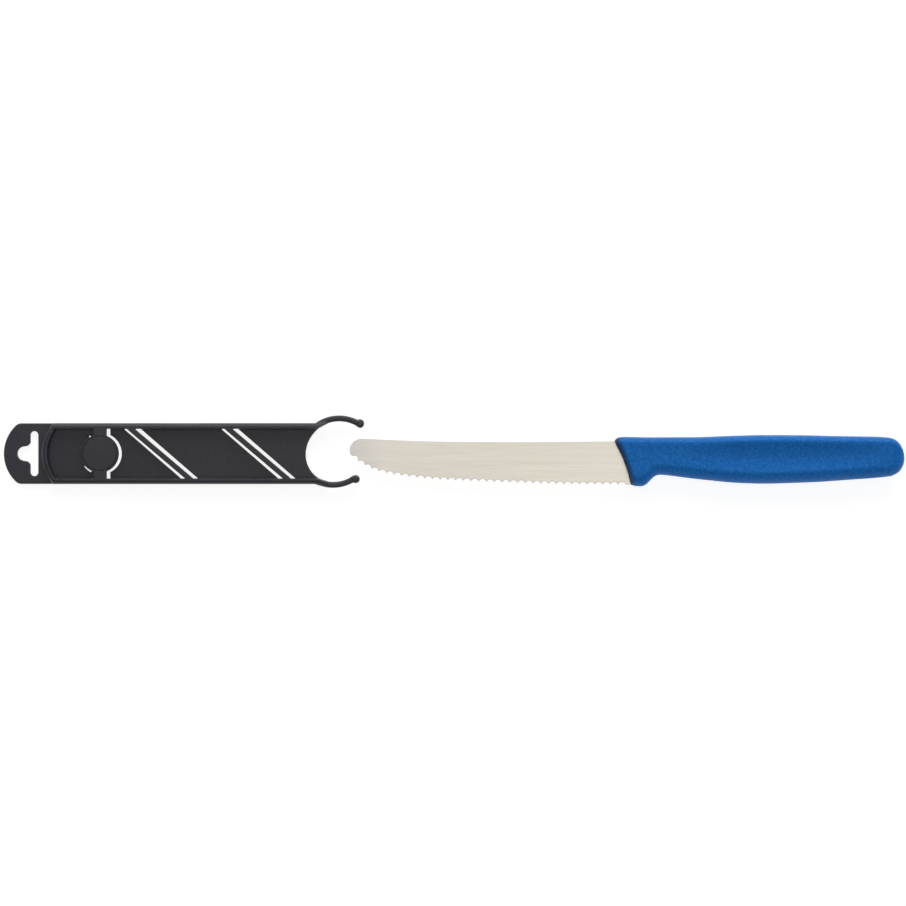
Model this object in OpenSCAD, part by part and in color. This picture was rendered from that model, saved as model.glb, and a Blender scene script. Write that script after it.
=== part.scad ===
// Round-tip serrated knife with a moulded handle and a clip-on blade guard.
// Lies on its side: blade flat, edge towards -Y, tip towards -X, +Z up.
// The guard is shown pulled off, in line with the blade, as on a display card.

/* [Blade] */
// Thickness of the blade plate
blade_t = 1.3; // [1.1:0.1:1.5]
// Distance from one tooth point to the next, along the edge
tooth_pitch = 3.02; // [2.8:0.02:3.2]
// Depth of each scallop, seen flat on
tooth_depth = 1.1; // [0.8:0.1:1.3]
// Angle between the grinding wheel's path and the blade face
grind_angle = 33; // [28:1:38]
// Number of scallops from the tip to the heel
tooth_count = 36; // [20:1:36]

/* [Tang] */
// Height of the hidden tang
tang_h = 9.4; // [8:0.2:10]
// Where the tang ends, from the blade's tip
tang_end = 192; // [180:1:196]
// Diameter of the three lock holes in the tang
lock_hole_d = 5; // [3.5:0.5:6]

/* [Handle] */
// Greatest thickness of the handle, at the palm swell
handle_t = 11.4; // [10.8:0.2:12.4]
// Squareness of the handle's section, 2 is an ellipse
handle_square = 2.55; // [2.2:0.05:3]

/* [Blade guard] */
// Overall thickness of the guard
guard_t = 5.6; // [5.4:0.1:6]
// Half of the guard's height, rail to rail outside
guard_half_h = 11.86; // [11.8:0.02:12]
// Gap that the blade slides in, between the straps and the back panels
channel_gap = 2.2; // [2:0.1:2.4]
// Thickness of the hang tab
tab_t = 2.0; // [1.6:0.1:2.2]
// Width of each slanted strap, along the guard
strap_w = 3.07; // [2.6:0.05:3.4]
// Width of the window behind each slanted strap, along the guard
window_w = 6.9; // [6.5:0.1:7.3]
// Distance between the two slanted straps
strap_step = 38.1; // [36:0.1:38.2]
// Radius of the round badge plate
badge_r = 7.44; // [6.8:0.02:7.5]
// Thickness of the clip's arms, seen flat on
arm_w = 2.2; // [2:0.05:2.2]
// Height of the clip's arms across the guard's thickness
arm_h = 3.6; // [3.2:0.1:4]
// Radius of the balls at the arms' ends
ball_r = 1.55; // [1.4:0.05:1.55]

/* [Hidden] */
$fn = 64;
eps = 0.05;

// ---- where the two bodies lie -------------------------------------------
knife_x = -40.24;         // the blade's tip
knife_y = -3.72;          // the blade's middle line
guard_x = -175.7;         // the guard's hanging end
guard_y = -0.45;          // the guard's middle line
palm_x = 121.8;           // where the handle is thickest, in the object's frame
// The handle is thicker than the guard, so the whole row leans by half a degree
// and rests on the handle's swell and on the guard's hanging end.
lean = atan((handle_t - guard_t) / 2 / (palm_x - guard_x));
rise = handle_t / 2 - palm_x * tan(lean);

// ---- curves through hand-chosen points ----------------------------------
function seg(t, x, i = 0) = (i >= len(t) - 2 || x < t[i + 1][0]) ? i : seg(t, x, i + 1);
function slope(t, i) = i <= 0 ? (t[1][1] - t[0][1]) / (t[1][0] - t[0][0])
    : i >= len(t) - 1 ? (t[i][1] - t[i - 1][1]) / (t[i][0] - t[i - 1][0])
    : (t[i + 1][1] - t[i - 1][1]) / (t[i + 1][0] - t[i - 1][0]);
function curve(t, x) = let (i = seg(t, x), h = t[i + 1][0] - t[i][0], s = (x - t[i][0]) / h,
        m0 = slope(t, i) * h, m1 = slope(t, i + 1) * h)
    (2 * s * s * s - 3 * s * s + 1) * t[i][1] + (s * s * s - 2 * s * s + s) * m0
    + (3 * s * s - 2 * s * s * s) * t[i + 1][1] + (s * s * s - s * s) * m1;
function arc(c, r, a0, a1, n) = [for (k = [0:n]) let (a = a0 + (a1 - a0) * k / n) c + r * [cos(a), sin(a)]];
function sgn_pow(v, p) = v < 0 ? -pow(-v, p) : pow(v, p);

// ---- blade: x from the tip, y from the blade's middle line --------------
spine = [[1.1, 7.4], [1.8, 8.1], [2.6, 8.5], [3.4, 8.8], [4.2, 8.97], [5.5, 9.02], [8, 9.0],
    [12, 8.8], [18, 8.55], [24.5, 8.3], [30.5, 8.13], [43, 7.9], [62.5, 7.85], [94, 8.05], [104, 8.2]];
nose = [[0.98, 2.3], [0.3, 3.0], [0.03, 3.8], [0, 4.6], [0.08, 5.4], [0.3, 6.0], [0.65, 6.75]];
edge = [[0.98, 2.3], [3.2, 0.3], [5.9, -1.4], [8.5, -2.8], [11.6, -3.85], [17, -4.95], [23, -5.85],
    [29, -6.5], [35, -7.0], [47.5, -7.55], [59, -8.05], [71.5, -8.4], [80.5, -8.72], [93, -8.85], [105.6, -8.88], [109.6, -8.89]];
// One tooth further along the edge
function next_tooth(x, p, k = 0) = let (d = [p, curve(edge, x + p) - curve(edge, x)])
    k >= 5 ? x + p : next_tooth(x, p * tooth_pitch / norm([p, curve(edge, x + p) - curve(edge, x)]), k + 1);
function teeth(n, x) = n == 0 ? [x] : concat([x], teeth(n - 1, next_tooth(x, tooth_pitch)));
tooth_x = teeth(tooth_count, 0.98);
function tooth_point(i) = [tooth_x[i], curve(edge, tooth_x[i])];
wheel_sag = tooth_depth * sin(grind_angle);
wheel_r = (tooth_pitch * tooth_pitch / 4 + wheel_sag * wheel_sag) / (2 * wheel_sag);

tooth_flat = 0.1;         // how far each tooth point is blunted
tang_y = 1.8;             // middle of the tang
heel_x = 109.6;           // where the blade's edge meets the handle
lock_holes = [126, 149, 172];

module blade_2d() {
    polygon(concat(
        [for (x = [104 : -3 : 14]) [x, curve(spine, x)]],
        [for (x = [12, 10, 8, 7, 6, 5, 4.2, 3.4, 2.6, 1.8, 1.1]) [x, curve(spine, x)]],
        [for (k = [len(nose) - 1 : -1 : 1]) nose[k]],
        [[0.98, 2.3]],
        // one corner under each scallop, so that every tooth point keeps a small flat
        [for (i = [0 : tooth_count - 1]) let (p = tooth_point(i), q = tooth_point(i + 1), d = q - p)
            (p + q) / 2 + tooth_flat * [-d[1], d[0]] / norm(d)],
        [tooth_point(tooth_count) + [0.25, 0.02], [108, -8.87]],
        [[heel_x, -8.85], [111.2, -7.6], [113.5, -4.6], [117, tang_y - tang_h / 2]],
        [[tang_end - 3, tang_y - tang_h / 2 + 1], [tang_end, tang_y - tang_h / 2 + 3.6],
         [tang_end, tang_y + tang_h / 2 - 3.6], [tang_end - 3, tang_y + tang_h / 2 - 1], [116.5, tang_y + tang_h / 2], [113, 8.0]]));
}

module lock_hole_cutters(h) {
    for (x = lock_holes) translate([x, tang_y, 0]) cylinder(h = h, d = lock_hole_d, center = true);
}

// The path of the grinding wheel for the scallop between two tooth points, in twelve flats.
// The scallops are ground into the face that lies down, so the upper face is flat right to the edge.
module scallop(p, q) {
    m = (p + q) / 2;
    r = 1.015 * wheel_r;
    translate([m[0], m[1], 0]) rotate([0, 0, atan2(q[1] - p[1], q[0] - p[0])])
        translate([0, tooth_depth, blade_t / 2]) rotate([90 - grind_angle, 0, 0])
            translate([0, -r, 0]) cylinder(h = 9, r = r, center = true, $fn = 12);
}

module blade_solid() {
    difference() {
        translate([0, 0, -blade_t / 2]) linear_extrude(blade_t) blade_2d();
        lock_hole_cutters(4);
        for (i = [0 : tooth_count - 1])
            scallop(tooth_point(i), tooth_point(i + 1));
    }
}

// ---- handle: same axes as the blade -------------------------------------
handle_top = [[103.2, 8.8], [103.8, 9.3], [104.6, 9.6], [106, 9.78], [109, 9.76], [117, 9.62], [127, 9.67], [136.5, 9.72],
    [144.5, 10.04], [152, 10.3], [160, 10.5], [177.5, 10.42], [187.5, 10.16], [203, 9.9], [207, 9.76], [210.5, 9.4],
    [212.2, 8.8], [213.8, 7.5], [215, 5.65], [215.7, 3.4], [215.94, 1.2]];
handle_bottom = [[109.5, -8.85], [110.4, -9.15], [111.6, -9.42], [112.8, -9.5], [114, -9.4], [115.1, -8.98], [116.3, -8.03],
    [117.5, -6.77], [118.6, -5.73], [119.8, -5.17], [121.2, -5.0], [125, -5.36], [132.5, -6.34], [140.5, -7.2], [148.5, -8.0],
    [156, -8.35], [162, -8.45], [172, -8.2], [183.5, -7.72], [195, -6.9], [203, -6.35], [210.5, -5.55], [212.2, -4.9], [213.8, -3.9],
    [215, -2.3], [215.7, -0.6], [215.94, 1.2]];
// Front face, seen flat on: [y, x]
handle_front = [[-8.85, 109.5], [-3.8, 108.3], [-0.4, 107.15], [2.6, 106.0], [5.0, 104.85], [7.4, 103.7], [8.8, 103.2]];
// Half thickness along the handle, as a share of the greatest
swell = [[103, 0.8], [110, 0.815], [119, 0.82], [130, 0.87], [145, 0.95], [156, 0.99], [162, 1.0], [170, 0.993], [185, 0.955],
    [200, 0.9], [209, 0.86], [212, 0.83]];
butt_x = 215.94;

// Rings stand upright at the back and follow the slanted front face at the front.
ring_at = [0, 0.25, 0.7, 1.4, 2.4, 3.6, 5, 6.5, 8, 9.4, 10.8, 12.2, 13.6, 15.2, 17, 19, 22, 26, 31, 37, 43, 49, 55, 61, 67, 73, 79,
    85, 90, 94, 98, 101, 103.2, 104.8, 106, 106.9, 107.6, 108.15, 108.5, 108.7];
front_x = 107.2;
ring_n = 28;
function hold(v, lo, hi) = min(hi, max(lo, v));
function lean_share(d) = d < 3 ? 1 : pow(max(0, 1 - (d - 3) / 20), 2);
function front_off(r) = curve(handle_front, -0.025 + 8.825 * r) - front_x;   // r from -1 (bottom) to 1 (top)
function ring_x(d, r) = front_x + d + front_off(r) * lean_share(d) ;
function half_thick(x, d) = let (s = handle_t / 2 * curve(swell, min(x, 212)),
        butt = x < 210.5 ? 1 : sqrt(max(0.0001, 1 - pow((x - 210.5) / (butt_x + 0.04 - 210.5), 2))),
        lip = d >= 1.5 ? 1 : 0.62 + 0.38 * sqrt(1 - pow(1 - d / 1.5, 2)))
    s * butt * lip;
function ring_point(d, a) = let (r = sgn_pow(sin(a), 2 / handle_square),
        x = min(ring_x(d, r), butt_x), xt = hold(ring_x(d, 1), 103.2, butt_x), xb = hold(ring_x(d, -1), 109.5, butt_x),
        yt = curve(handle_top, xt), yb = curve(handle_bottom, xb), w = half_thick(x, d) * sgn_pow(cos(a), 2 / handle_square))
    [x, (yt + yb) / 2 + (yt - yb) / 2 * r, w];

module handle_loft() {
    n = len(ring_at);
    pts = concat([for (d = ring_at) for (k = [0 : ring_n - 1]) ring_point(d, 360 * k / ring_n)],
        [[front_x - 0.05, 0, 0], [butt_x, 1.2, 0]]);
    polyhedron(points = pts, faces = concat(
        [for (i = [0 : n - 2]) for (k = [0 : ring_n - 1]) let (a = i * ring_n + k, b = i * ring_n + (k + 1) % ring_n)
            [a, b, b + ring_n]],
        [for (i = [0 : n - 2]) for (k = [0 : ring_n - 1]) let (a = i * ring_n + k, b = i * ring_n + (k + 1) % ring_n)
            [a, b + ring_n, a + ring_n]],
        [for (k = [0 : ring_n - 1]) [n * ring_n, (k + 1) % ring_n, k]],
        [for (k = [0 : ring_n - 1]) [n * ring_n + 1, (n - 1) * ring_n + k, (n - 1) * ring_n + (k + 1) % ring_n]]));
}

module handle_solid() {
    difference() {
        handle_loft();
        difference() {
            translate([0, 0, -blade_t / 2]) linear_extrude(blade_t) intersection() {
                blade_2d();
                translate([100, -20]) square([120, 40]);
            }
            lock_hole_cutters(4);
        }
    }
}

// ---- blade guard: x from the hanging end, y from its middle line --------
g_back = -guard_t / 2;
g_front = guard_t / 2;
floor_z = -channel_gap / 2;
roof_z = channel_gap / 2;
rail_in_top = 9.67;
rail_in_bottom = -9.71;
end_r = 15.2;
corner_r = 3.1;
ring_c = [130.2, 0.77];
ring_a = 12.56;
ring_b = 11.44;
ring_turn = 42;
strap_x = -115.74 + 175.7;    // front edge of the first strap, at the middle line
window_x = -117.73 + 175.7;
strap_lean = 1.18;
window_lean = 1.157;
badge_x = 38.0;
neck_w = 5.15;
window_r = badge_r + 0.84;
upper_arm = [131.3, -1.05, 14.86];
lower_arm = [130.4, 3.1, 16];
upper_ball = [139.6, 11.7];
lower_ball = [137.4, -11.35];

module ring_2d() {
    polygon([for (k = [0 : 71]) let (a = 5 * k, p = [ring_a * cos(a), ring_b * sin(a)])
        ring_c + [p[0] * cos(ring_turn) - p[1] * sin(ring_turn), p[0] * sin(ring_turn) + p[1] * cos(ring_turn)]]);
}

// A 2D shape between two slanted lines, from rail to rail
module slanted(x, w, k) {
    polygon([for (p = [[0, -15], [0, 15], [1, 15], [1, -15]]) [x + p[0] * w - p[1] * k, p[1]]]);
}

module tab_and_body_2d() {
    fx = end_r - sqrt(pow(end_r - corner_r, 2) - pow(guard_half_h - corner_r, 2));
    a = acos((fx - end_r) / (end_r - corner_r));
    polygon(concat(
        arc([end_r, 0], end_r, a, 360 - a, 36),
        arc([fx, corner_r - guard_half_h], corner_r, 360 - a, 270, 8),
        [[124, -guard_half_h], [126.5, -12.5], [126.5, 12.6], [124, guard_half_h]],
        arc([fx, guard_half_h - corner_r], corner_r, 90, a, 8)));
}

// The thick part starts at an arc, right of the hang tab
module thick_part_2d() {
    difference() {
        translate([15, -14]) square([114, 28]);
        difference() {
            translate([10, -14]) square([12, 28]);
            translate([15.2 + 18, 0]) circle(r = 18, $fn = 96);
        }
    }
}

// The recess that the blade slides in, seen flat on
module recess_2d() {
    intersection() {
        translate([10, rail_in_bottom]) square([116, rail_in_top - rail_in_bottom]);
        union() {
            translate([34.3, 0]) circle(r = 16.8, $fn = 96);
            translate([34.3, -14]) square([100, 28]);
        }
    }
}

module badge_2d(r, nx, nw) {
    translate([badge_x + nx[0], 0]) circle(r = r, $fn = 96);
    translate([badge_x + 0.15 + nx[1] - nw / 2, -15]) square([nw, 30]);
}

module straps_2d() {
    for (k = [0, 1]) slanted(strap_x + k * strap_step, strap_w, strap_lean);
    badge_2d(badge_r, [0, 0], neck_w);
}

module windows_2d() {
    for (k = [0, 1]) slanted(window_x + k * strap_step, window_w, window_lean);
    badge_2d(window_r, [0.15, 0.2], neck_w + 1.65);
    // a wider slit under the badge plate's lower left edge
    intersection() {
        translate([badge_x, 0]) circle(r = badge_r + 1.45, $fn = 96);
        translate([badge_x, 0]) polygon([[0, 0], [-14, -9.4], [-8, -18]]);
    }
}

module hang_slot_2d() {
    for (y = [-7.22, 7.22]) translate([11.95, y]) circle(r = 1.56);
    translate([11.95 - 1.56, -7.22]) square([3.12, 14.44]);
    translate([8.1, 0]) circle(r = 2.8);
    // shoulders of the middle bump, filleted into the long slot
    difference() {
        translate([8.1, -4.1]) square([3, 8.2]);
        for (s = [-1, 1]) translate([8.42, s * 4.86]) circle(r = 1.97);
        for (s = [-1, 1]) translate([8.42 - 2, s * 4.86 - 1.97]) square([2, 3.94]);
    }
}

module clip_arm(a, a0, a1, ball) {
    translate([a[0], a[1], 0]) rotate([0, 0, a0]) rotate_extrude(angle = a1 - a0, $fn = 96) translate([a[2], 0]) {
        square([arm_w, arm_h - arm_w], center = true);
        for (s = [-1, 1]) translate([0, s * (arm_h - arm_w) / 2]) circle(d = arm_w, $fn = 32);
    }
    translate([ball[0], ball[1], 0]) {
        cylinder(h = arm_h + 0.2 - 2 * ball_r, r = ball_r, center = true, $fn = 48);
        for (s = [-1, 1]) translate([0, 0, s * (arm_h + 0.2 - 2 * ball_r) / 2]) sphere(r = ball_r, $fn = 48);
    }
}

module guard_solid() {
    difference() {
        union() {
            // hang tab, and the thick body behind it
            translate([0, 0, g_back]) linear_extrude(tab_t) tab_and_body_2d();
            translate([0, 0, g_back]) linear_extrude(guard_t) intersection() {
                tab_and_body_2d();
                thick_part_2d();
            }
        }
        // blade channel, open to the front except under the straps
        translate([0, 0, floor_z]) linear_extrude(channel_gap) recess_2d();
        translate([0, 0, roof_z - eps]) linear_extrude(guard_t) difference() {
            recess_2d();
            straps_2d();
        }
        // windows in the back wall, behind the straps
        translate([0, 0, g_back - 1]) linear_extrude(floor_z - g_back + 1 + eps) intersection() {
            recess_2d();
            windows_2d();
        }
        translate([0, 0, g_back - 1]) linear_extrude(guard_t + 2) ring_2d();
        translate([0, 0, g_back - 1]) linear_extrude(guard_t + 2) hang_slot_2d();
    }
    clip_arm(upper_arm, 56, 121, upper_ball);
    clip_arm(lower_arm, 246, 296, lower_ball);
}

// ---- the pieces where they lie ------------------------------------------
module lay() { translate([0, 0, rise]) rotate([0, -lean, 0]) children(); }

module blade() { color([0.82, 0.8, 0.77]) lay() translate([knife_x, knife_y, 0]) blade_solid(); }
module handle() { color([0.11, 0.36, 0.63]) lay() translate([knife_x, knife_y, 0]) handle_solid(); }
module blade_guard() { color([0.17, 0.17, 0.18]) lay() translate([guard_x, guard_y, 0]) guard_solid(); }

blade();
handle();
blade_guard();
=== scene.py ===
import math

import bmesh
import bpy
import numpy as np
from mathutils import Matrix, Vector, geometry


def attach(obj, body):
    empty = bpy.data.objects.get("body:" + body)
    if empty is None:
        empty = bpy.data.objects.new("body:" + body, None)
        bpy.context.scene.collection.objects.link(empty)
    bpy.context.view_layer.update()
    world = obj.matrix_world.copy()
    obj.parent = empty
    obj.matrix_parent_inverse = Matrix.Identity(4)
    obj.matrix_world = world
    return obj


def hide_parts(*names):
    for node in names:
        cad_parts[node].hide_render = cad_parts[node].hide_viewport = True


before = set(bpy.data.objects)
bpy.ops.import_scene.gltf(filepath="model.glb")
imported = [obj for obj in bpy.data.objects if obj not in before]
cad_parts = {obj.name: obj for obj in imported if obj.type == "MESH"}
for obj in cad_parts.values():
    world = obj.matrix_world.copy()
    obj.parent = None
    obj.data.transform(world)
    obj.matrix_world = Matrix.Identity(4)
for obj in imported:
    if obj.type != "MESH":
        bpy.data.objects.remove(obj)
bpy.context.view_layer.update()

# ---------------------------------------------------------------- placement
# Everything is built in millimetres in its own body's axes, then laid where the CAD lies.
MM = 0.001
KNIFE_AT = (-40.24, -3.72)
GUARD_AT = (-175.7, -0.45)
HANDLE_T, GUARD_T, PALM_X = 11.4, 5.6, 121.8
LEAN = math.atan((HANDLE_T - GUARD_T) / 2 / (PALM_X - GUARD_AT[0]))
RISE = HANDLE_T / 2 - PALM_X * math.tan(LEAN)


def lay(p, at):
    p = np.asarray(p, float)
    x, y, z = p[:, 0] + at[0], p[:, 1] + at[1], p[:, 2]
    c, s = math.cos(LEAN), math.sin(LEAN)
    return np.stack([x * c - z * s, y, RISE + x * s + z * c], 1) * MM


def curve(table, x):
    """Smooth curve through the points of a table, as the CAD draws it."""
    t = np.asarray(table, float)
    xs, ys = t[:, 0], t[:, 1]
    m = np.empty(len(xs))
    m[1:-1] = (ys[2:] - ys[:-2]) / (xs[2:] - xs[:-2])
    m[0] = (ys[1] - ys[0]) / (xs[1] - xs[0])
    m[-1] = (ys[-1] - ys[-2]) / (xs[-1] - xs[-2])
    x = np.asarray(x, float)
    i = np.clip(np.searchsorted(xs, x, side="right") - 1, 0, len(xs) - 2)
    h = xs[i + 1] - xs[i]
    s = (x - xs[i]) / h
    return ((2 * s**3 - 3 * s**2 + 1) * ys[i] + (s**3 - 2 * s**2 + s) * m[i] * h
            + (3 * s**2 - 2 * s**3) * ys[i + 1] + (s**3 - s**2) * m[i + 1] * h)


def new_object(name, verts, faces, smooth=True, at=None):
    mesh = bpy.data.meshes.new(name)
    v = lay(verts, at) if at is not None else np.asarray(verts, float)
    mesh.from_pydata(v.tolist(), [], [list(map(int, f)) for f in faces])
    mesh.validate()
    mesh.polygons.foreach_set("use_smooth", [smooth] * len(mesh.polygons))
    ob = bpy.data.objects.new(name, mesh)
    bpy.context.scene.collection.objects.link(ob)
    return ob


# ---------------------------------------------------------------- blade
BLADE_T = 1.3
PITCH, DEPTH, GRIND, TEETH = 3.02, 1.1, math.radians(33), 36
SPINE = [[1.1, 7.4], [1.8, 8.1], [2.6, 8.5], [3.4, 8.8], [4.2, 8.97], [5.5, 9.02], [8, 9.0],
         [12, 8.8], [18, 8.55], [24.5, 8.3], [30.5, 8.13], [43, 7.9], [62.5, 7.85], [94, 8.05], [104, 8.2]]
NOSE = [[0.98, 2.3], [0.3, 3.0], [0.03, 3.8], [0, 4.6], [0.08, 5.4], [0.3, 6.0], [0.65, 6.75]]
EDGE = [[0.98, 2.3], [3.2, 0.3], [5.9, -1.4], [8.5, -2.8], [11.6, -3.85], [17, -4.95], [23, -5.85],
        [29, -6.5], [35, -7.0], [47.5, -7.55], [59, -8.05], [71.5, -8.4], [80.5, -8.72], [93, -8.85],
        [105.6, -8.88], [109.6, -8.89]]
TANG_Y, TANG_H, TANG_END, HEEL_X = 1.8, 9.4, 192, 109.6
LOCK_HOLES = (126, 149, 172)
WHEEL_SAG = DEPTH * math.sin(GRIND)
WHEEL_R = (PITCH**2 / 4 + WHEEL_SAG**2) / (2 * WHEEL_SAG)


def tooth_points():
    x, out = 0.98, [0.98]
    for _ in range(TEETH):
        p = PITCH
        for _ in range(5):
            p *= PITCH / math.hypot(p, float(curve(EDGE, x + p) - curve(EDGE, x)))
        x += p
        out.append(x)
    return [np.array([v, float(curve(EDGE, v))]) for v in out]


def in_polygon(pts, poly):
    x, y = pts[:, 0][:, None], pts[:, 1][:, None]
    x0, y0 = poly[:, 0][None], poly[:, 1][None]
    x1, y1 = np.roll(poly[:, 0], -1)[None], np.roll(poly[:, 1], -1)[None]
    cross = ((y0 > y) != (y1 > y)) & (x < (x1 - x0) * (y - y0) / np.where(y1 == y0, 1e-12, y1 - y0) + x0)
    return cross.sum(1) % 2 == 1


def blade():
    t2, g = BLADE_T / 2, GRIND
    sg, cg, tg = math.sin(g), math.cos(g), math.tan(g)
    P = tooth_points()
    chords = []
    for i in range(TEETH):
        e = (P[i + 1] - P[i]) / np.linalg.norm(P[i + 1] - P[i])
        chords.append(((P[i] + P[i + 1]) / 2, e, np.array([-e[1], e[0]])))
    half = PITCH / 2

    # where two scallops meet, neither reaches past the line that halves the corner between them
    lean = [[-1e9, 1e9] for _ in range(TEETH)]
    for i in range(1, TEETH):
        n = chords[i - 1][2] + chords[i][2]
        lean[i - 1][1] = n.dot(chords[i - 1][1]) / n.dot(chords[i - 1][2])
        lean[i][0] = n.dot(chords[i][1]) / n.dot(chords[i][2])

    def station(i, u, v_out=None):
        m, e, nn = chords[i]
        s = math.sqrt(max(0.0, WHEEL_R**2 - u**2))
        v0 = DEPTH - (WHEEL_R - s) / sg
        vt = v0 + BLADE_T / tg
        if v_out is None:
            vl, zl = max(v0, 0.1), -t2
        else:
            vl, zl = v_out, min(t2, -t2 + (v_out - v0) * tg)
            vt = max(vt, v_out)
        row = []
        for w, z in ((0, -t2), (0, -t2), (0, zl), (1 / 3, (2 * zl + t2) / 3), (1 / 2, (zl + t2) / 2), (2 / 3, (zl + 2 * t2) / 3), (1, t2)):
            v = vl + (vt - vl) * w
            q = m + e * min(max(u, -half + v * lean[i][0]), half + v * lean[i][1]) + nn * v
            row.append([*q, z])
        return row

    st = []
    reach = math.sqrt(WHEEL_R**2 - (WHEEL_R - DEPTH * sg - BLADE_T * cg)**2)
    for u in np.linspace(-reach, -half, 8)[:-1]:
        st.append(station(0, u, v_out=0.05))
    for i in range(TEETH):
        for j, u in enumerate(np.linspace(-half, half, 17)[:-1]):
            n = None
            if j == 0 and i > 0:
                n = chords[i - 1][2] + chords[i][2]
                n = n / np.linalg.norm(n)
                d = P[i]
                vt = BLADE_T / tg
                low, top = d + n * 0.1, d + n * vt
                st.append([[*low, -t2], [*low, -t2], [*low, -t2], [*((2 * low + top) / 3), (-2 * t2 + t2) / 3], [*((low + top) / 2), 0],
                           [*((low + 2 * top) / 3), t2 / 3], [*top, t2]])
            else:
                st.append(station(i, u))
    st.append(station(TEETH - 1, half))
    for u in np.linspace(half, reach, 8)[1:]:
        st.append(station(TEETH - 1, u, v_out=0.05))

    n_teeth = len(st)
    # the rest of the outline: heel, tang, spine, nose
    rest = [[108.9, -8.86], [HEEL_X, -8.85], [111.2, -7.6], [113.5, -4.6], [117, TANG_Y - TANG_H / 2],
            [TANG_END - 3, TANG_Y - TANG_H / 2 + 1], [TANG_END, TANG_Y - TANG_H / 2 + 3.6],
            [TANG_END, TANG_Y + TANG_H / 2 - 3.6], [TANG_END - 3, TANG_Y + TANG_H / 2 - 1],
            [116.5, TANG_Y + TANG_H / 2], [113, 8.0]]
    rest += [[x, float(curve(SPINE, x))] for x in np.arange(104, 12.5, -1.5)]
    rest += [[x, float(curve(SPINE, x))] for x in (12, 11, 10, 9, 8, 7.4, 6.8, 6.2, 5.6, 5, 4.5, 4, 3.5, 3, 2.6, 2.2, 1.8, 1.45, 1.1)]
    nose = [np.array(q, float) for q in NOSE[:0:-1]]
    pts = [np.array(rest[-1])] + nose + [np.array(NOSE[0])]
    fine = []
    for a, b, c, d in zip([pts[0]] + pts[:-2], pts[:-1], pts[1:], pts[2:] + [pts[-1]]):
        for s in (0.25, 0.5, 0.75, 1.0):
            fine.append(0.5 * (2 * b + (c - a) * s + (2 * a - 5 * b + 4 * c - d) * s**2 + (3 * b - a - 3 * c + d) * s**3))
    first = np.array(st[0][0][:2])
    fine = [q for q in fine if q[1] > first[1] + 0.12]
    rest += [list(q) for q in fine]
    rest = np.array(rest)
    loop = np.vstack([[st[-1][0][:2]], rest, [first]])
    tang = loop[2:] - loop[:-2]
    tang /= np.linalg.norm(tang, axis=1)[:, None]
    inward = np.stack([-tang[:, 1], tang[:, 0]], 1)
    length = np.concatenate([[0], np.cumsum(np.linalg.norm(np.diff(loop, axis=0), axis=1))])[1:-1]
    total = length[-1] + np.linalg.norm(loop[-1] - loop[-2])
    for k, q in enumerate(rest):
        r = 0.17 * min(1.0, length[k] / 1.0, (total - length[k]) / 1.0)
        n = inward[k]
        b = 0.55 * r
        row = [[*(q + n * b), -t2], [*q, -t2 + b]]
        for a in (0, 22.5, 45, 67.5, 90):
            a = math.radians(a)
            row.append([*(q + n * r * (1 - math.cos(a))), t2 - r + r * math.sin(a)])
        st.append(row)
    S = np.array(st)                          # stations, rows, xyz
    S[:, :, 2] *= -1                          # the scallops are ground into the face that lies down
    ns, nr = S.shape[:2]
    verts = S.reshape(-1, 3).tolist()
    near = np.zeros((ns, nr))
    near[:n_teeth, :3] = 1.0                  # how near a point is to the toothed edge
    near = near.ravel().tolist()
    # points just inside the edge, so that the painted shade line along it ends there
    inside = []
    for i in range(TEETH):
        m, e, nn = chords[i]
        for u in (-1.15, -0.6, 0, 0.6, 1.15):
            v0 = DEPTH - (WHEEL_R - math.sqrt(WHEEL_R**2 - u**2)) / sg
            inside.append(m + e * u + nn * (v0 + 0.62))
    faces, smooth = [], []
    for k in range(ns):
        k2 = (k + 1) % ns
        for r in range(nr - 1):
            faces.append([k * nr + r + 1, k2 * nr + r + 1, k2 * nr + r, k * nr + r])
            smooth.append(True)
    holes = []
    for hx in LOCK_HOLES:
        ring = [(hx + 2.5 * math.cos(2 * math.pi * k / 32), TANG_Y + 2.5 * math.sin(2 * math.pi * k / 32)) for k in range(32)]
        lo = len(verts)
        verts += [[x, y, -t2] for x, y in ring]
        hi = len(verts)
        verts += [[x, y, t2] for x, y in ring]
        for k in range(32):
            k2 = (k + 1) % 32
            faces.append([lo + k, hi + k, hi + k2, lo + k2])
            smooth.append(True)
        holes.append((np.array(ring), lo, hi))
    for row, top in ((nr - 1, False), (0, True)):
        ids = [k * nr + row for k in range(ns)]
        xy = S[:, row, :2]
        keep = [0]
        for k in range(1, ns):
            if np.linalg.norm(xy[k] - xy[keep[-1]]) > 1e-4:
                keep.append(k)
        if np.linalg.norm(xy[keep[-1]] - xy[0]) < 1e-4:
            keep.pop()
        outer = xy[keep]
        vid = [ids[k] for k in keep]
        pv = [Vector(q) for q in outer]
        ed = [(k, (k + 1) % len(outer)) for k in range(len(outer))]
        for ring, lo, hi in holes:
            o = len(pv)
            pv += [Vector(q) for q in ring]
            vid += [(hi if top else lo) + k for k in range(32)]
            ed += [(o + k, o + (k + 1) % 32) for k in range(32)]
        if top:
            pv += [Vector(q) for q in inside]
            vid += [len(verts) + k for k in range(len(inside))]
            verts += [[*q, t2] for q in inside]
        ov, _, of, orig, _, _ = geometry.delaunay_2d_cdt(pv, ed, [], 0, 1e-7)
        ref = [vid[o[0]] if o else None for o in orig]
        tri = np.array([f for f in of])
        P2 = np.array([[q.x, q.y] for q in ov])
        cen = P2[tri].mean(1)
        ok = in_polygon(cen, outer)
        for ring, _, _ in holes:
            ok &= ~in_polygon(cen, ring)
        for f in tri[ok]:
            a, b, c = P2[f]
            ccw = (b[0] - a[0]) * (c[1] - a[1]) - (b[1] - a[1]) * (c[0] - a[0]) > 0
            ids3 = [ref[i] for i in f]
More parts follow.
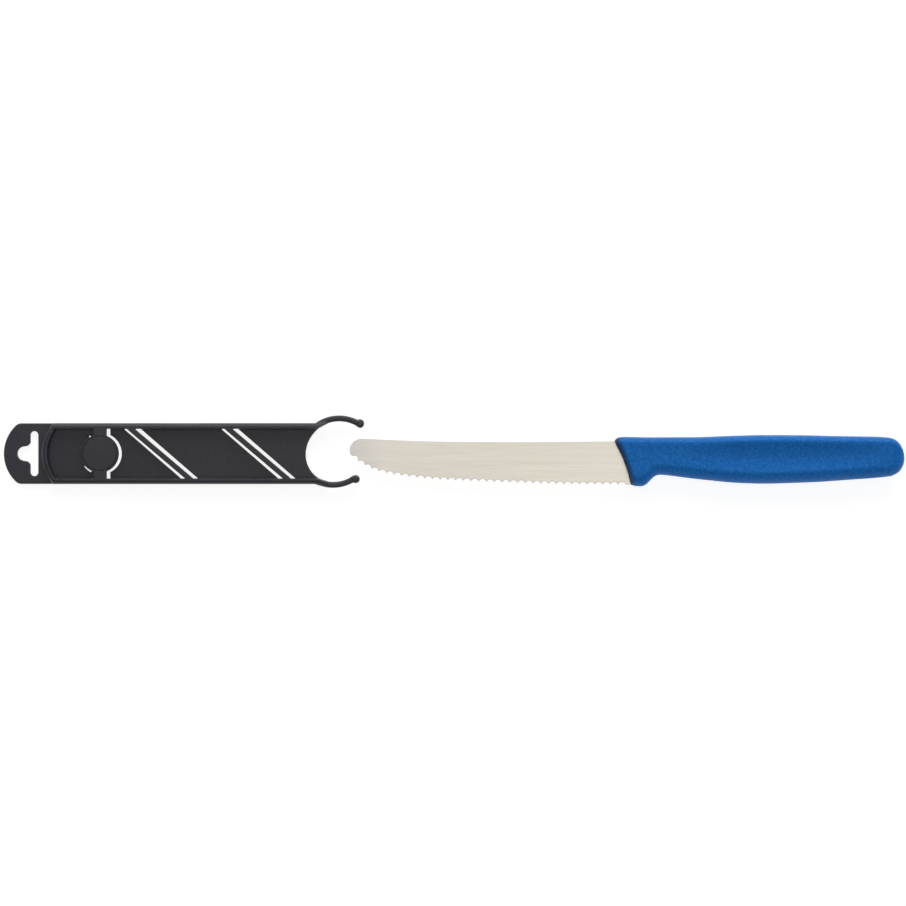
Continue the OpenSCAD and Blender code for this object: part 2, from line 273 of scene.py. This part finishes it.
            if None in ids3:
                continue
            faces.append(ids3 if ccw == top else ids3[::-1])
            smooth.append(False)
    mesh = bpy.data.meshes.new("blade_steel")
    mesh.from_pydata(lay(verts, KNIFE_AT).tolist(), [], faces)
    mesh.polygons.foreach_set("use_smooth", smooth)
    edge = mesh.attributes.new("edge", "FLOAT", "POINT")
    edge.data.foreach_set("value", near + [0.0] * (len(verts) - len(near)))
    bm = bmesh.new()
    bm.from_mesh(mesh)
    bmesh.ops.remove_doubles(bm, verts=bm.verts, dist=2e-6)
    bmesh.ops.dissolve_degenerate(bm, edges=bm.edges, dist=1e-7)
    for e in bm.edges:
        if len(e.link_faces) == 2 and e.calc_face_angle(0) > math.radians(26):
            e.smooth = False
    uv = bm.loops.layers.uv.new("lengthwise")
    for f in bm.faces:
        for lp in f.loops:
            lp[uv].uv = (lp.vert.co.x * 10, lp.vert.co.y * 10 + lp.vert.co.z * 3)
    bm.to_mesh(mesh)
    bm.free()
    ob = bpy.data.objects.new("blade_steel", mesh)
    bpy.context.scene.collection.objects.link(ob)
    return ob


# ---------------------------------------------------------------- handle
H_TOP = [[103.2, 8.25], [103.6, 8.85], [104.2, 9.33], [105, 9.64], [106.2, 9.78], [109, 9.76], [117, 9.62], [127, 9.67], [136.5, 9.72],
         [144.5, 10.04], [152, 10.3], [160, 10.5], [177.5, 10.42], [187.5, 10.16], [203, 9.9], [207, 9.76], [210.5, 9.4],
         [212.2, 8.8], [213.8, 7.5], [215, 5.65], [215.7, 3.4], [215.94, 1.2]]
H_BOTTOM = [[109.5, -8.85], [110.4, -9.15], [111.6, -9.42], [112.8, -9.5], [114, -9.4], [115.1, -8.98], [116.3, -8.03],
            [117.5, -6.77], [118.6, -5.73], [119.8, -5.17], [121.2, -5.0], [125, -5.36], [132.5, -6.34], [140.5, -7.2],
            [148.5, -8.0], [156, -8.35], [162, -8.45], [172, -8.2], [183.5, -7.72], [195, -6.9], [203, -6.35],
            [210.5, -5.55], [212.2, -4.9], [213.8, -3.9], [215, -2.3], [215.7, -0.6], [215.94, 1.2]]
H_FRONT = [[-8.85, 109.5], [-3.8, 108.3], [-0.4, 107.15], [2.6, 106.0], [5.0, 104.85], [7.4, 103.7], [8.8, 103.2]]
SWELL = [[103, 0.8], [110, 0.815], [119, 0.82], [130, 0.87], [145, 0.95], [156, 0.99], [162, 1.0], [170, 0.993],
         [185, 0.955], [200, 0.9], [209, 0.86], [212, 0.83]]
BUTT_X, FRONT_X = 215.94, 107.2
# how deep the thumb hollow along each side is, from the front to the butt
HOLLOW = [[103, 0.12], [112, 0.2], [122, 0.28], [130, 0.42], [140, 0.78], [150, 1.18], [160, 1.3], [180, 1.24], [195, 0.86], [206, 0.4], [212, 0.08]]


def smin(a, b, k):
    h = np.clip(0.5 + 0.5 * (b - a) / k, 0, 1)
    return b + (a - b) * h - k * h * (1 - h)


def handle():
    d_at = np.concatenate([
        1.5 * (1 - np.cos(np.linspace(0, math.pi / 2, 11)))[1:] * 1.0,
        np.linspace(1.5, 22, 52)[1:], np.linspace(22, 101, 96)[1:],
        101 + 7.74 * np.sin(np.linspace(0, math.pi / 2, 30))[1:]])
    d_at[-1] = 108.735
    half = 68
    tt = np.linspace(0, 1, half + 1)
    r_top = -np.cos(math.pi * tt)
    rings, nring = [], 2 * half

    def section(d, zscale=1.0, lip=None):
        r = r_top
        share = 1.0 if d < 3 else max(0.0, 1 - (d - 3) / 20)**2
        front = curve(H_FRONT, -0.025 + 8.825 * r) - FRONT_X
        x = np.minimum(FRONT_X + d + front * share, BUTT_X)
        xt = np.clip(x[-1], 103.2, BUTT_X)
        xb = np.clip(x[0], 109.5, BUTT_X)
        yt, yb = float(curve(H_TOP, xt)), float(curve(H_BOTTOM, xb))
        H = yt - yb
        y = (yt + yb) / 2 + H / 2 * r
        xs = np.minimum(x, 212)
        W = HANDLE_T / 2 * curve(SWELL, xs)
        butt = np.where(x < 210.5, 1.0, np.sqrt(np.maximum(1e-4, 1 - ((x - 210.5) / (BUTT_X + 0.04 - 210.5))**2)))
        if lip is None:
            lip = 1.0 if d >= 1.5 else 0.45 + 0.55 * math.sqrt(1 - (1 - d / 1.5)**2)
        W = W * butt * lip
        T, B = min(2.7, 0.3 * H), min(4.6, 0.42 * H)
        dt, db = np.maximum(yt - y, 0), np.maximum(y - yb, 0)
        zt = W * (1 - np.maximum(0, 1 - dt / T)**2.2)**(1 / 2.2)
        zb = W * (1 - np.maximum(0, 1 - db / B)**1.75)**(1 / 1.75)
        s = (db - B) / max(H - T - B, 0.1)
        D = curve(HOLLOW, np.clip(x, 103, 212)) * butt * lip
        panel = W - np.where((s > 0) & (s < 1), D * (1 - np.abs(2 * s - 1)**1.6), -0.6 * D * np.minimum(np.abs(s), np.abs(s - 1)))
        z = smin(smin(zt, panel, 0.16 + 0.0 * W), zb, 0.13)
        z = np.maximum(z + 0.02 * np.clip(z, 0, 1), 0)
        z = np.minimum(z, W) * zscale
        z[0] = z[-1] = 0
        top = np.stack([x, y, z], 1)
        bottom = np.stack([x, y, -z], 1)[1:-1][::-1]
        return np.vstack([top, bottom])

    # a small rounded return from the front lip down to the blade
    for d, zs in ((0.06, 0.02), (0.06, 0.30), (0.0, 0.42), (-0.04, 0.58), (-0.03, 0.8), (0.0, 1.0)):
        rings.append(section(d, zscale=zs, lip=0.45))
    for d in d_at:
        rings.append(section(float(d)))
    n = len(rings)
    verts = np.vstack(rings)
    faces = []
    for i in range(n - 1):
        for k in range(nring):
            a, b = i * nring + k, i * nring + (k + 1) % nring
            faces.append([a, b, b + nring, a + nring][::-1])
    # close the two ends by joining each upper point to the lower one beneath it
    for o, flip in ((0, False), ((n - 1) * nring, True)):
        for k in range(half):
            up0, up1 = o + k, o + k + 1
            lo0, lo1 = o + (nring - k) % nring, o + (nring - k - 1)
            f = [up0, up1, lo1, lo0] if lo0 != up0 and lo1 != up1 else ([up0, up1, lo1] if lo0 == up0 else [up0, up1, lo0])
            faces.append(f[::-1] if flip else f)
    ob = new_object("handle_grip", verts, faces, True, KNIFE_AT)
    bm = bmesh.new()
    bm.from_mesh(ob.data)
    bmesh.ops.recalc_face_normals(bm, faces=bm.faces)
    bm.to_mesh(ob.data)
    bm.free()
    # how near a point is to where the grip meets the steel: painted shade, a dark line there fading back over the
    # lip's rounding
    near = [0.95, 0.5, 0.25, 0.18, 0.22, 0.6] + [0.97 * float(np.clip(1 - d / 2.3, 0, 1))**0.9 for d in d_at]
    painted_lip_shade = ob.data.attributes.new("painted_lip_shade", "FLOAT", "POINT")
    painted_lip_shade.data.foreach_set("value", np.repeat(near, nring))
    return ob


# ---------------------------------------------------------------- blade guard
G_BACK, G_FRONT = -GUARD_T / 2, GUARD_T / 2
FLOOR_Z, ROOF_Z, TAB_T = -1.1, 1.1, 2.0
HALF_H, END_R, CORNER_R = 11.86, 15.2, 3.1
FX = END_R - math.sqrt((END_R - CORNER_R)**2 - (HALF_H - CORNER_R)**2)


LOWER_ARM = (128.95, 2.39, 14.58, 247, 303, 137.75, -9.95)


def rmax(a, b, r):
    """Intersection with its edge rounded."""
    return np.minimum(-r, np.maximum(a, b)) + np.hypot(np.maximum(a + r, 0), np.maximum(b + r, 0))


def guard_field(x, y, z):
    ay = np.abs(y)
    # outline, with round corners at the hanging end
    ux, uy = x - FX, ay - (HALF_H - CORNER_R)
    a, b = END_R - FX, HALF_H - CORNER_R
    corner = (ux <= 0) & (ux * b + uy * a >= 0)
    circ = np.where(x < END_R, np.hypot(x - END_R, y) - (END_R - CORNER_R), ay - (END_R - CORNER_R))
    flat = ay - (HALF_H - CORNER_R) - np.clip(x - 124, 0, 2.5) * 0.27
    body = np.where(corner, np.hypot(ux, uy), np.maximum(circ, flat)) - CORNER_R
    body = np.maximum(body, x - 126.5)
    thick = np.minimum(np.hypot(x - 33.2, y) - 18, 22 - x)
    recess = np.maximum(np.maximum(y - 9.67, -9.71 - y), np.minimum(np.hypot(x - 34.3, y) - 16.8, 34.3 - x))

    def band(x0, w, k):
        q = x + k * y
        return np.maximum(x0 - q, q - x0 - w) / math.sqrt(1 + k * k)

    badge = np.minimum(np.hypot(x - 38.0, y) - 7.44, np.abs(x - 38.15) - 2.575)
    straps = np.minimum(np.minimum(band(59.90, 3.19, 1.18), band(98.00, 3.19, 1.18)), badge)
    # behind the badge plate the back wall shows a gap on the right, a short slit at the lower left and a pin hole
    slit = np.maximum(np.hypot(x - 38, y) - 8.32, np.maximum((14 * y - 10.6 * (x - 38)) / 17.56, (18 * (x - 38) - 9.6 * y) / 20.4))
    right = np.maximum(np.minimum(np.hypot(x - 38.15, y) - 8.02, np.abs(x - 38.65) - 3.02), 36 - x)
    holes = np.minimum(band(58.09, 6.68, 1.157), band(96.19, 6.68, 1.157))
    holes = np.minimum(np.minimum(holes, right), np.minimum(slit, np.hypot(x - 33.65, y - 6.62) - 0.4))
    # hanging tab and thick body
    tab = rmax(rmax(body, z - (G_BACK + TAB_T), 0.5), G_BACK - z, 0.35)
    thick_body = rmax(rmax(np.maximum(body, thick), z - G_FRONT, 1.65), G_BACK - z, 0.35)
    d = smin(tab, thick_body, 0.25)
    # blade channel, open to the front but for the straps
    v1 = np.maximum(recess, np.abs(z) - ROOF_Z)
    v2 = np.maximum(np.maximum(recess, -straps), ROOF_Z - 0.05 - z)
    keep = rmax(-v1, -v2, 0.14)
    d = rmax(d, keep, 0.34)
    v3 = np.maximum(np.maximum(recess, holes), z - (FLOOR_Z + 0.05))
    d = rmax(d, -v3, 0.1)
    # ring opening
    t = math.radians(42)
    px, py = x - 130.2, y - 0.77
    qx, qy = px * math.cos(t) + py * math.sin(t), -px * math.sin(t) + py * math.cos(t)
    k0 = np.hypot(qx / 12.56, qy / 11.44)
    k1 = np.hypot(qx / 12.56**2, qy / 11.44**2)
    d = rmax(d, -(k0 * (k0 - 1) / np.maximum(k1, 1e-6)), 0.55)
    # hanging slot
    cap = np.hypot(x - 11.95, np.maximum(ay - 7.22, 0)) - 1.56
    bump = np.hypot(x - 8.1, y) - 2.8
    shoulder = np.maximum(np.maximum(8.1 - x, x - 11.1), ay - 4.1)
    shoulder = np.maximum(shoulder, -(np.hypot(x - 8.42, ay - 4.86) - 1.97))
    shoulder = np.maximum(shoulder, -np.maximum(np.maximum(6.42 - x, x - 8.42), np.abs(ay - 4.86) - 1.97))
    d = rmax(d, -np.minimum(np.minimum(cap, bump), shoulder), 0.38)
    # groove round the badge plate
    d = np.maximum(d, -(np.hypot(np.hypot(x - 38, y) - 6.72, (z - G_FRONT) * 1.15) - 0.3))
    # clip arms and their ball ends, as they spring in the photograph
    def bar(w, h, q, r):
        u, v = q - w + r, np.abs(z) - h + r
        return np.hypot(np.maximum(u, 0), np.maximum(v, 0)) + np.minimum(np.maximum(u, v), 0) - r

    arms = None
    for cx, cy, R, a0, a1, bx, by in ((131.3, -1.05, 14.77, 56, 121, 139.45, 11.82), LOWER_ARM):
        am, ah = math.radians((a0 + a1) / 2), math.radians((a1 - a0) / 2)
        px, py = x - cx, y - cy
        ang = np.arctan2(-px * math.sin(am) + py * math.cos(am), px * math.cos(am) + py * math.sin(am))
        ang = np.clip(ang, -ah, ah) + am
        dh = np.hypot(px - R * np.cos(ang), py - R * np.sin(ang))
        one = smin(bar(1.16, 1.8, dh, 1.0), bar(1.6, 1.9, np.hypot(x - bx, y - by), 1.2), 0.5)
        arms = one if arms is None else np.minimum(arms, one)
    return smin(d, arms, 0.9)


def surface_nets(f, lo, h, shape):
    ax = [lo[i] + h * np.arange(shape[i]) for i in range(3)]
    X, Y, Z = np.meshgrid(*ax, indexing="ij", sparse=True)
    F = f(X, Y, Z)
    S = F < 0
    c = np.zeros(tuple(n - 1 for n in F.shape), np.int8)
    sl = [slice(0, -1), slice(1, None)]
    for i in (0, 1):
        for j in (0, 1):
            for k in (0, 1):
                c += S[sl[i], sl[j], sl[k]]
    cells = np.argwhere((c > 0) & (c < 8))
    index = -np.ones(c.shape, np.int64)
    index[tuple(cells.T)] = np.arange(len(cells))
    acc, cnt = np.zeros((len(cells), 3)), np.zeros(len(cells))
    corners = [(i, j, k) for i in (0, 1) for j in (0, 1) for k in (0, 1)]
    val = {q: F[cells[:, 0] + q[0], cells[:, 1] + q[1], cells[:, 2] + q[2]] for q in corners}
    for q in corners:
        for axis in range(3):
            if q[axis]:
                continue
            q2 = tuple(1 if i == axis else q[i] for i in range(3))
            a, b = val[q], val[q2]
            hit = (a < 0) != (b < 0)
            s = np.where(hit, a / np.where(hit, a - b, 1), 0)
            p = np.tile(np.array(q, float), (len(cells), 1))
            p[:, axis] = s
            acc[hit] += p[hit]
            cnt[hit] += 1
    verts = (cells + acc / cnt[:, None]) * h + np.array(lo)
    faces = []
    for axis in range(3):
        u, v = (axis + 1) % 3, (axis + 2) % 3
        a = [slice(None)] * 3
        b = [slice(None)] * 3
        a[axis], b[axis] = slice(0, -1), slice(1, None)
        hit = S[tuple(a)] != S[tuple(b)]
        e = np.argwhere(hit)
        e = e[(e[:, u] > 0) & (e[:, v] > 0)]
        e = e[(e[:, u] < c.shape[u]) & (e[:, v] < c.shape[v])]
        inside = S[tuple(e.T)]
        quad = []
        for du, dv in ((1, 1), (0, 1), (0, 0), (1, 0)):
            q = e.copy()
            q[:, u] -= du
            q[:, v] -= dv
            quad.append(index[tuple(q.T)])
        quad = np.stack(quad, 1)
        quad[~inside] = quad[~inside][:, ::-1]
        faces.append(quad)
    return verts, np.vstack(faces)


def field_gradient(f, p, e=0.02):
    g = np.empty_like(p)
    for i in range(3):
        a, b = p.copy(), p.copy()
        a[:, i] += e
        b[:, i] -= e
        g[:, i] = (f(*a.T) - f(*b.T)) / (2 * e)
    return g


def guard():
    h = 0.22
    lo = (-0.6, -15.4, -3.4)
    shape = tuple(int(math.ceil(s / h)) + 1 for s in (143.4, 31.0, 6.8))
    v, f = surface_nets(guard_field, lo, h, shape)
    for _ in range(3):
        g = field_gradient(guard_field, v)
        n2 = np.maximum((g**2).sum(1), 0.25)
        step = g * (guard_field(*v.T) / n2)[:, None]
        big = np.linalg.norm(step, axis=1, keepdims=True)
        v -= step * np.minimum(1, 0.5 * h / np.maximum(big, 1e-9))
    ob = new_object("guard_shell", v, f, True)
    m = ob.modifiers.new("thin", "DECIMATE")
    m.ratio = 0.3
    m.use_collapse_triangulate = True
    dg = bpy.context.evaluated_depsgraph_get()
    slim = bpy.data.meshes.new_from_object(ob.evaluated_get(dg))
    ob.modifiers.clear()
    old = ob.data
    ob.data = slim
    bpy.data.meshes.remove(old)
    slim.name = "guard_shell"
    bm = bmesh.new()
    bm.from_mesh(slim)
    bmesh.ops.remove_doubles(bm, verts=bm.verts, dist=0.01)
    bmesh.ops.dissolve_degenerate(bm, edges=bm.edges, dist=0.001)
    bmesh.ops.triangulate(bm, faces=bm.faces)
    bm.to_mesh(slim)
    bm.free()
    v = np.empty(len(slim.vertices) * 3)
    slim.vertices.foreach_get("co", v)
    v = v.reshape(-1, 3)
    g = field_gradient(guard_field, v, 0.03)
    nrm = g / np.maximum(np.linalg.norm(g, axis=1, keepdims=True), 1e-9)
    c, s = math.cos(LEAN), math.sin(LEAN)
    world_n = np.stack([nrm[:, 0] * c - nrm[:, 2] * s, nrm[:, 1], nrm[:, 0] * s + nrm[:, 2] * c], 1)
    slim.vertices.foreach_set("co", lay(v, GUARD_AT).ravel())
    slim.polygons.foreach_set("use_smooth", [True] * len(slim.polygons))
    slim.update()
    # flats and other wide faces shade flat; the small ones take the true surface's direction
    nv, nf = np.empty(len(slim.loops), np.int64), len(slim.polygons)
    slim.loops.foreach_get("vertex_index", nv)
    fn, fa = np.empty(nf * 3), np.empty(nf)
    slim.polygons.foreach_get("normal", fn)
    slim.polygons.foreach_get("area", fa)
    fn = fn.reshape(-1, 3)
    up = np.array([-s, 0, c])
    level = np.abs(fn @ up) > 0.9986
    fn[level] = np.sign(fn[level] @ up)[:, None] * up
    fn = np.repeat(fn, 3, 0)
    wide = np.repeat(np.maximum(level, np.clip((fa * 1e6 - 0.12) / 0.25, 0, 1)), 3)[:, None]
    ln = world_n[nv]
    wide *= (ln * fn).sum(1, keepdims=True) > 0.8
    ln = ln * (1 - wide) + fn * wide
    ln /= np.linalg.norm(ln, axis=1, keepdims=True)
    slim.normals_split_custom_set(ln.tolist())
    # flats keep the plain colour: only the rounded edges are a little paler, a painted highlight
    flat = slim.attributes.new("flat", "FLOAT", "CORNER")
    flat.data.foreach_set("value", np.repeat(level, 3).astype(float))
    return ob


# ---------------------------------------------------------------- materials
class Nodes:
    def __init__(self, name):
        self.mat = bpy.data.materials.new(name)
        self.mat.use_nodes = True
        self.nt = self.mat.node_tree
        self.bsdf = self.nt.nodes["Principled BSDF"]
        self.coord = self.nt.nodes.new("ShaderNodeTexCoord")

    def link(self, a, b):
        self.nt.links.new(a, b)

    def mapped(self, scale, loc=(0, 0, 0), rot=(0, 0, 0)):
        m = self.nt.nodes.new("ShaderNodeMapping")
        m.inputs["Scale"].default_value = scale
        m.inputs["Location"].default_value = loc
        m.inputs["Rotation"].default_value = rot
        self.link(self.coord.outputs["Object"], m.inputs["Vector"])
        return m.outputs["Vector"]

    def noise(self, vec, scale=1.0, detail=3.0, rough=0.5):
        n = self.nt.nodes.new("ShaderNodeTexNoise")
        n.inputs["Scale"].default_value = scale
        n.inputs["Detail"].default_value = detail
        n.inputs["Roughness"].default_value = rough
        self.link(vec, n.inputs["Vector"])
        return n.outputs["Fac"]

    def ramp(self, fac, stops):
        r = self.nt.nodes.new("ShaderNodeValToRGB")
        cr = r.color_ramp
        while len(cr.elements) > 1:
            cr.elements.remove(cr.elements[-1])
        cr.elements[0].position = stops[0][0]
        cr.elements[0].color = stops[0][1]
        for p, c in stops[1:]:
            e = cr.elements.new(p)
            e.color = c
        self.link(fac, r.inputs["Fac"])
        return r.outputs["Color"]

    def range(self, fac, a, b, lo=0.0, hi=1.0):
        m = self.nt.nodes.new("ShaderNodeMapRange")
        m.inputs["From Min"].default_value = lo
        m.inputs["From Max"].default_value = hi
        m.inputs["To Min"].default_value = a
        m.inputs["To Max"].default_value = b
        self.link(fac, m.inputs["Value"])
        return m.outputs["Result"]

    def math(self, op, a, b):
        m = self.nt.nodes.new("ShaderNodeMath")
        m.operation = op
        for i, v in enumerate((a, b)):
            if isinstance(v, (int, float)):
                m.inputs[i].default_value = v
            else:
                self.link(v, m.inputs[i])
        return m.outputs[0]

    def mix(self, fac, a, b, mode="MIX"):
        m = self.nt.nodes.new("ShaderNodeMix")
        m.data_type = "RGBA"
        m.blend_type = mode
        for key, v in (("Factor", fac), ("A", a), ("B", b)):
            sock = [s for s in m.inputs if s.name == key and (s.type == ("VALUE" if key == "Factor" else "RGBA"))][0]
            if isinstance(v, (int, float, tuple)):
                sock.default_value = v
            else:
                self.link(v, sock)
        return [s for s in m.outputs if s.type == "RGBA"][0]

    def bump(self, height, distance, strength=1.0, normal=None):
        b = self.nt.nodes.new("ShaderNodeBump")
        b.inputs["Distance"].default_value = distance
        b.inputs["Strength"].default_value = strength
        self.link(height, b.inputs["Height"])
        if normal is not None:
            self.link(normal, b.inputs["Normal"])
        return b.outputs["Normal"]

    def pointy(self, a, b, lo, hi):
        g = self.nt.nodes.new("ShaderNodeNewGeometry")
        return self.range(g.outputs["Pointiness"], a, b, lo, hi)


def steel():
    m = Nodes("steel")
    b = m.bsdf
    b.inputs["Metallic"].default_value = 1.0
    b.inputs["Anisotropic"].default_value = 0.55
    grain = m.noise(m.mapped((45, 4200, 2600)), 1.0, 4.0, 0.65)
    broad = m.noise(m.mapped((16, 900, 500), loc=(3, 1, 0)), 1.0, 3.0, 0.6)
    cloud = m.noise(m.mapped((30, 45, 30), loc=(7, 2, 5)), 1.0, 2.0, 0.5)
    tone = m.math("ADD", m.math("MULTIPLY", grain, 0.74), m.math("MULTIPLY", broad, 0.26))
    col = m.ramp(tone, [(0.3, (0.65, 0.605, 0.53, 1)), (0.5, (0.745, 0.70, 0.615, 1)), (0.7, (0.82, 0.775, 0.69, 1))])
    col = m.mix(m.range(cloud, 0.0, 0.3, 0.45, 0.7), col, (0.735, 0.675, 0.625, 1))
    col = m.mix(m.range(cloud, 0.25, 0.0, 0.3, 0.5), col, (0.72, 0.70, 0.60, 1))
    # painted reflection: greyer towards the rounded end, paler and warmer towards the heel
    place = m.nt.nodes.new("ShaderNodeSeparateXYZ")
    m.link(m.coord.outputs["Object"], place.inputs["Vector"])
    col = m.mix(m.range(place.outputs["X"], 0.55, 0.0, -0.0402, -0.027), col, (0.585, 0.57, 0.56, 1))
    col = m.mix(m.range(place.outputs["X"], 0.0, 0.4, 0.01, 0.06), col, (0.83, 0.765, 0.655, 1))
    # painted shade: a darker line along the toothed edge, for the shading of the ground scallops
    edge = m.nt.nodes.new("ShaderNodeAttribute")
    edge.attribute_name = "edge"
    col = m.mix(m.math("MULTIPLY", edge.outputs["Fac"], 0.7), col, (0.50, 0.455, 0.44, 1))
    m.link(col, b.inputs["Base Color"])
    m.link(m.range(broad, 0.29, 0.39, 0.25, 0.75), b.inputs["Roughness"])
    n = m.bump(grain, 0.000006, 0.55)
    m.link(n, b.inputs["Normal"])
    t = m.nt.nodes.new("ShaderNodeTangent")
    t.direction_type = "UV_MAP"
    t.uv_map = "lengthwise"
    m.link(t.outputs["Tangent"], b.inputs["Tangent"])
    return m.mat


def grip_plastic():
    m = Nodes("grip_plastic")
    b = m.bsdf
    b.inputs["Specular IOR Level"].default_value = 0.13
    b.inputs["IOR"].default_value = 1.49
    fine = m.noise(m.mapped((1, 1, 1)), 2600.0, 3.0, 0.6)
    mid = m.noise(m.mapped((1, 1, 1), loc=(0.3, 0.1, 0.2)), 1050.0, 2.0, 0.5)
    flow = m.noise(m.mapped((12, 60, 60), loc=(1, 2, 3)), 1.0, 3.0, 0.5)
    tone = m.math("ADD", m.math("MULTIPLY", fine, 0.4), m.math("MULTIPLY", mid, 0.6))
    col = m.ramp(tone, [(0.35, (0.003, 0.092, 0.34, 1)), (0.5, (0.005, 0.127, 0.43, 1)), (0.65, (0.012, 0.168, 0.515, 1))])
    col = m.mix(m.range(flow, 0.0, 0.35, 0.35, 0.7), col, (0.004, 0.115, 0.412, 1))
    # painted highlight: the rounded edges paler, greyish blue
    col = m.mix(m.pointy(0.0, 0.6, 0.515, 0.6), col, (0.03, 0.2, 0.37, 1))
    # painted shade: the front lip darkened where the grip meets the steel
    painted_lip_shade = m.nt.nodes.new("ShaderNodeAttribute")
    painted_lip_shade.attribute_name = "painted_lip_shade"
    col = m.mix(m.math("MULTIPLY", painted_lip_shade.outputs["Fac"], 0.9), col, (0.001, 0.008, 0.024, 1))
    m.link(col, b.inputs["Base Color"])
    m.link(m.range(tone, 0.52, 0.36, 0.35, 0.65), b.inputs["Roughness"])
    n = m.bump(mid, 0.00006, 0.35)
    n = m.bump(fine, 0.00003, 0.5, n)
    m.link(n, b.inputs["Normal"])
    return m.mat


def guard_plastic():
    m = Nodes("guard_plastic")
    b = m.bsdf
    b.inputs["Specular IOR Level"].default_value = 0.35
    b.inputs["IOR"].default_value = 1.5
    fine = m.noise(m.mapped((1, 1, 1)), 2200.0, 3.0, 0.6)
    flow = m.noise(m.mapped((16, 70, 60), loc=(4, 2, 3)), 1.0, 3.0, 0.5)
    scuff = m.noise(m.mapped((220, 2600, 900), rot=(0, 0, 0.12)), 1.0, 4.0, 0.65)
    mid = m.noise(m.mapped((1, 1, 1), loc=(0.2, 0.3, 0.1)), 950.0, 2.0, 0.5)
    tone = m.math("ADD", m.math("MULTIPLY", fine, 0.3), m.math("MULTIPLY", flow, 0.35))
    tone = m.math("ADD", tone, m.math("MULTIPLY", mid, 0.35))
    col = m.ramp(tone, [(0.3, (0.0178, 0.0186, 0.0238, 1)), (0.5, (0.0248, 0.0256, 0.0322, 1)), (0.7, (0.033, 0.0338, 0.0415, 1))])
    flat = m.nt.nodes.new("ShaderNodeAttribute")
    flat.attribute_name = "flat"
    # painted highlight: rounded edges paler, flats left plain
    rim = m.math("MULTIPLY", m.pointy(0.0, 0.6, 0.515, 0.6), m.math("SUBTRACT", 1.0, flat.outputs["Fac"]))
    col = m.mix(rim, col, (0.09, 0.09, 0.097, 1))
    m.link(col, b.inputs["Base Color"])
    m.link(m.math("ADD", m.range(fine, 0.40, 0.30, 0.35, 0.65), m.range(scuff, 0.0, 0.14, 0.52, 0.75)), b.inputs["Roughness"])
    n = m.bump(fine, 0.00003, 0.35)
    m.link(n, b.inputs["Normal"])
    return m.mat


pieces = {
    "blade": (blade(), steel(), "knife", "steel"),
    "handle": (handle(), grip_plastic(), "knife", "grip_plastic"),
    "blade_guard": (guard(), guard_plastic(), "guard", "guard_plastic"),
}
for node, (ob, mat, body, slot) in pieces.items():
    ob.data.materials.clear()
    ob.data.materials.append(mat)
    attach(ob, body)
    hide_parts(node)

# ---------------------------------------------------------------- floor, light and camera
mesh = bpy.data.meshes.new("floor")
mesh.from_pydata([(-4, -4, 0), (4, -4, 0), (4, 4, 0), (-4, 4, 0)], [], [(0, 1, 2, 3)])
floor = bpy.data.objects.new("floor", mesh)
bpy.context.scene.collection.objects.link(floor)
fm = bpy.data.materials.new("floor_white")
fm.use_nodes = True
fb = fm.node_tree.nodes["Principled BSDF"]
fb.inputs["Base Color"].default_value = (0.27, 0.27, 0.27, 1)
fb.inputs["Roughness"].default_value = 0.9
fb.inputs["Specular IOR Level"].default_value = 0.0
fb.inputs["Emission Color"].default_value = (1, 1, 1, 1)
fb.inputs["Emission Strength"].default_value = 0.85
mesh.materials.append(fm)

# a pale round wall far behind, which only low views see
wall_v, wall_f = [], []
for k in range(96):
    a = 2 * math.pi * k / 96
    wall_v += [(3.9 * math.cos(a), 3.9 * math.sin(a), 0), (3.9 * math.cos(a), 3.9 * math.sin(a), 1.3)]
    wall_f.append((2 * k, 2 * k + 1, (2 * k + 3) % 192, (2 * k + 2) % 192))
mesh = bpy.data.meshes.new("studio_wall")
mesh.from_pydata(wall_v, [], wall_f)
wall = bpy.data.objects.new("studio_wall", mesh)
bpy.context.scene.collection.objects.link(wall)
wm = bpy.data.materials.new("wall_white")
wm.use_nodes = True
wb = wm.node_tree.nodes["Principled BSDF"]
wb.inputs["Base Color"].default_value = (0.1, 0.1, 0.1, 1)
wb.inputs["Roughness"].default_value = 1.0
wb.inputs["Specular IOR Level"].default_value = 0.0
wb.inputs["Emission Color"].default_value = (1, 1, 1, 1)
wb.inputs["Emission Strength"].default_value = 0.9
mesh.materials.append(wm)


def area(name, at, to, size, power, color=(1, 1, 1)):
    lamp = bpy.data.lights.new(name, "AREA")
    lamp.shape = "RECTANGLE"
    lamp.size, lamp.size_y = size
    lamp.energy = power
    lamp.color = color
    ob = bpy.data.objects.new(name, lamp)
    ob.location = at
    ob.rotation_euler = (Vector(to) - Vector(at)).to_track_quat("-Z", "Y").to_euler()
    bpy.context.scene.collection.objects.link(ob)
    return ob


area("softbox_back", (0.0, 1.15, 0.62), (0, 0, 0), (1.8, 1.05), 14.5)
area("softbox_top", (0.14, -0.05, 1.6), (0.14, -0.05, 0), (1.5, 1.4), 6.1)

world = bpy.data.worlds.new("studio")
bpy.context.scene.world = world
world.use_nodes = True
bg = world.node_tree.nodes["Background"]
bg.inputs["Color"].default_value = (1, 1, 1, 1)
bg.inputs["Strength"].default_value = 0.2

cam = bpy.data.cameras.new("camera")
cam.sensor_width = 36
cam.lens = 104.94
cam.clip_start, cam.clip_end = 0.01, 20
camera = bpy.data.objects.new("camera", cam)
camera.location = (0.0, -0.00021, 1.0345)
camera.rotation_euler = (0, 0, 0)
bpy.context.scene.collection.objects.link(camera)
bpy.context.scene.camera = camera

vs = bpy.context.scene.view_settings
vs.view_transform = "Standard"
vs.look = "None"
vs.exposure = 0.0
vs.gamma = 1.0
